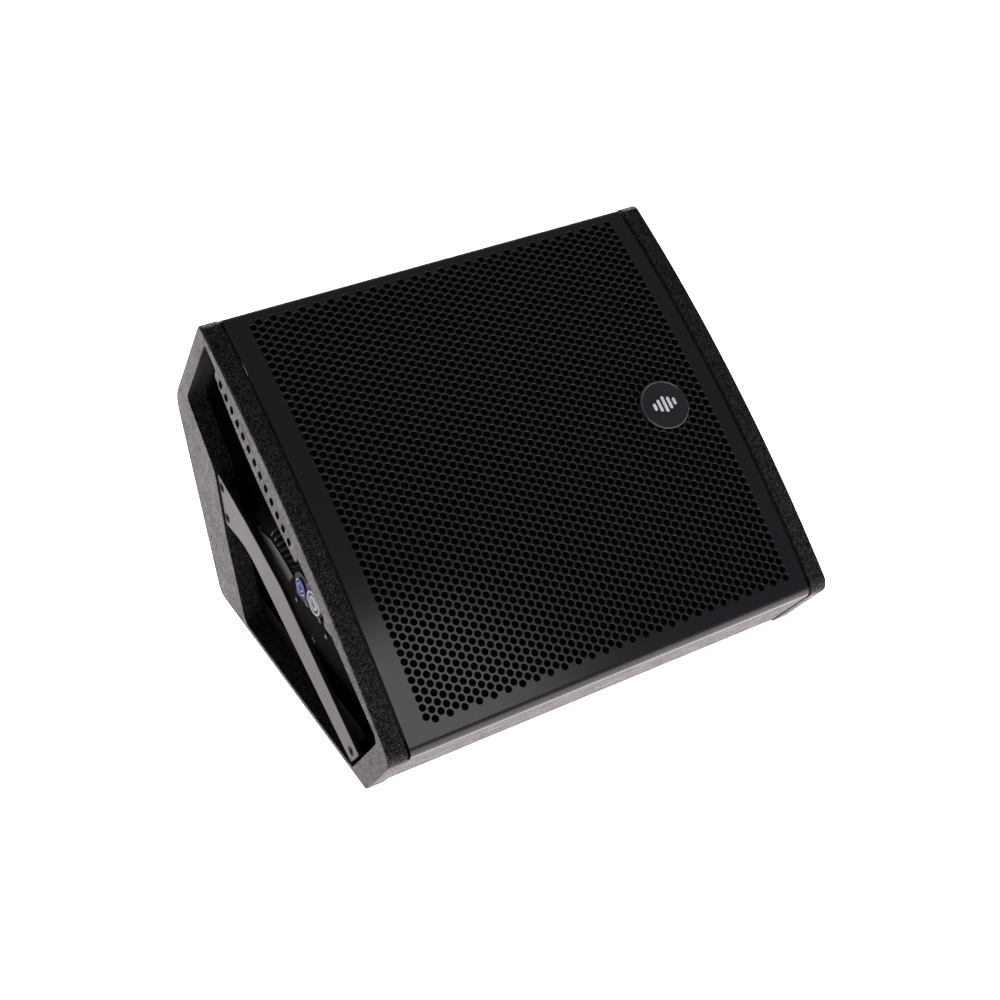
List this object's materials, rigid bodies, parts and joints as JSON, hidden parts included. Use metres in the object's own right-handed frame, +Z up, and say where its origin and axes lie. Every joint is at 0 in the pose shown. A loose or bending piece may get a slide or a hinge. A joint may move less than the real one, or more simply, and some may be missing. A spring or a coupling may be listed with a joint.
{
  "type": "stage monitor wedge",
  "caption": "Powered stage monitor wedge: curved perforated grille between thick cheeks, recessed side amplifier panel with sockets, heatsink and a handle bar.",
  "frame": {"origin": "on the floor, midway across the width and midway from front to back", "axes": "+X to the right cheek seen from the front, +Y to the back, +Z up; the grille faces -Y and up"},
  "size_m": [0.45, 0.4108, 0.3128],
  "materials": {
    "black_wood": "textured black paint on plywood",
    "grille_black": "smooth semi-gloss black powder coat",
    "black_steel": "satin black",
    "black_aluminium": "black anodised",
    "housing_plastic": "fine black texture",
    "plain_wood": "black stained plywood",
    "black_foam": "open cell foam",
    "black_rubber": "matt",
    "dark_screws": "black zinc",
    "zinc_steel": "zinc plated",
    "nickel": "satin nickel",
    "contact_gold": "gold plated contacts",
    "blue_plastic": "saturated blue",
    "grey_plastic": "light grey",
    "control_plastic": "satin black",
    "white_plastic": "off white",
    "led_green": "clear tinted",
    "badge_black": "gloss black with a plain pale mark",
    "cone_black": "coated paper",
    "copper": "enamelled copper wire",
    "spider_cloth": "impregnated cloth",
    "ferrite": "ground ferrite",
    "dome_metal": "thin foil",
    "circuit_board": "green solder mask",
    "component_mix": "wrapped components"
  },
  "bodies": {
    "cabinet": {"left_cheek": "black_wood", "right_cheek": "black_wood", "top_panel": "black_wood", "back_panel": "black_wood", "bottom_panel": "black_wood", "lower_front_panel": "black_wood", "baffle": "plain_wood", "port_tubes": "housing_plastic", "rubber_feet": "black_rubber", "foot_screws": "zinc_steel", "grille": "grille_black", "grille_screws": "dark_screws", "grille_foam": "black_foam", "grille_ribs": "plain_wood", "edge_seals": "black_rubber", "badge": "badge_black", "handle_bar": "black_steel", "handle_posts": "black_steel", "handle_screws": "dark_screws", "amp_housing": "housing_plastic", "amp_plate": "black_aluminium", "amp_plate_screws": "dark_screws", "connector_plate": "black_steel", "heatsink": "black_aluminium", "vent_strip": "black_steel", "heatsink_guard": "black_steel", "amp_board": "circuit_board", "board_components": "component_mix", "power_socket_frames": "housing_plastic", "power_inlet_body": "blue_plastic", "power_outlet_body": "grey_plastic", "xlr_input_shell": "nickel", "xlr_input_insert": "control_plastic", "xlr_output_shell": "nickel", "xlr_output_pins": "contact_gold", "socket_screws": "dark_screws", "volume_pot": "zinc_steel", "slide_switch_cases": "zinc_steel", "rocker_frame": "control_plastic", "status_leds": "led_green", "woofer_basket": "black_steel", "woofer_screws": "dark_screws", "woofer_surround": "black_rubber", "woofer_spider": "spider_cloth", "woofer_top_plate": "zinc_steel", "woofer_magnet": "ferrite", "woofer_pole_piece": "zinc_steel", "hf_horn": "housing_plastic", "hf_driver_body": "ferrite", "hf_cover": "black_aluminium"},
    "moving_cone": {"woofer_cone": "cone_black", "voice_coil": "copper"},
    "treble_diaphragm": {"hf_diaphragm": "dome_metal"},
    "volume": {"volume_knob": "control_plastic"},
    "input_switch": {"input_switch_slider": "white_plastic"},
    "contour_switch": {"contour_switch_slider": "white_plastic"},
    "rocker": {"power_rocker": "control_plastic"},
    "latch": {"xlr_latch": "nickel"}
  },
  "joints": [
    {"name": "cone_stroke", "type": "slide", "parent": "cabinet", "child": "moving_cone", "axis": [0, -0.5878, 0.809], "range_m": [-0.006, 0.006], "stiffness_N_per_m": 3000, "deforming": ["woofer_surround", "woofer_spider"]},
    {"name": "diaphragm_stroke", "type": "slide", "parent": "cabinet", "child": "treble_diaphragm", "axis": [0, -0.5878, 0.809], "range_m": [-0.0003, 0.0003], "stiffness_N_per_m": 100},
    {"name": "volume_turn", "type": "hinge", "parent": "cabinet", "child": "volume", "pos_m": [-0.195, -0.1078, 0.096], "axis": [-1, 0, 0], "range_deg": [-150, 150]},
    {"name": "input_switch_slide", "type": "slide", "parent": "cabinet", "child": "input_switch", "axis": [0, 0, 1], "range_m": [0, 0.004]},
    {"name": "contour_switch_slide", "type": "slide", "parent": "cabinet", "child": "contour_switch", "axis": [0, 0, 1], "range_m": [0, 0.004]},
    {"name": "power_rocker_tilt", "type": "hinge", "parent": "cabinet", "child": "rocker", "pos_m": [-0.196, -0.0468, 0.13], "axis": [0, -1, 0], "range_deg": [0, 20]},
    {"name": "latch_press", "type": "slide", "parent": "cabinet", "child": "latch", "axis": [1, 0, 0], "range_m": [0, 0.0018], "stiffness_N_per_m": 200, "springref_m": -0.001}
  ]
}
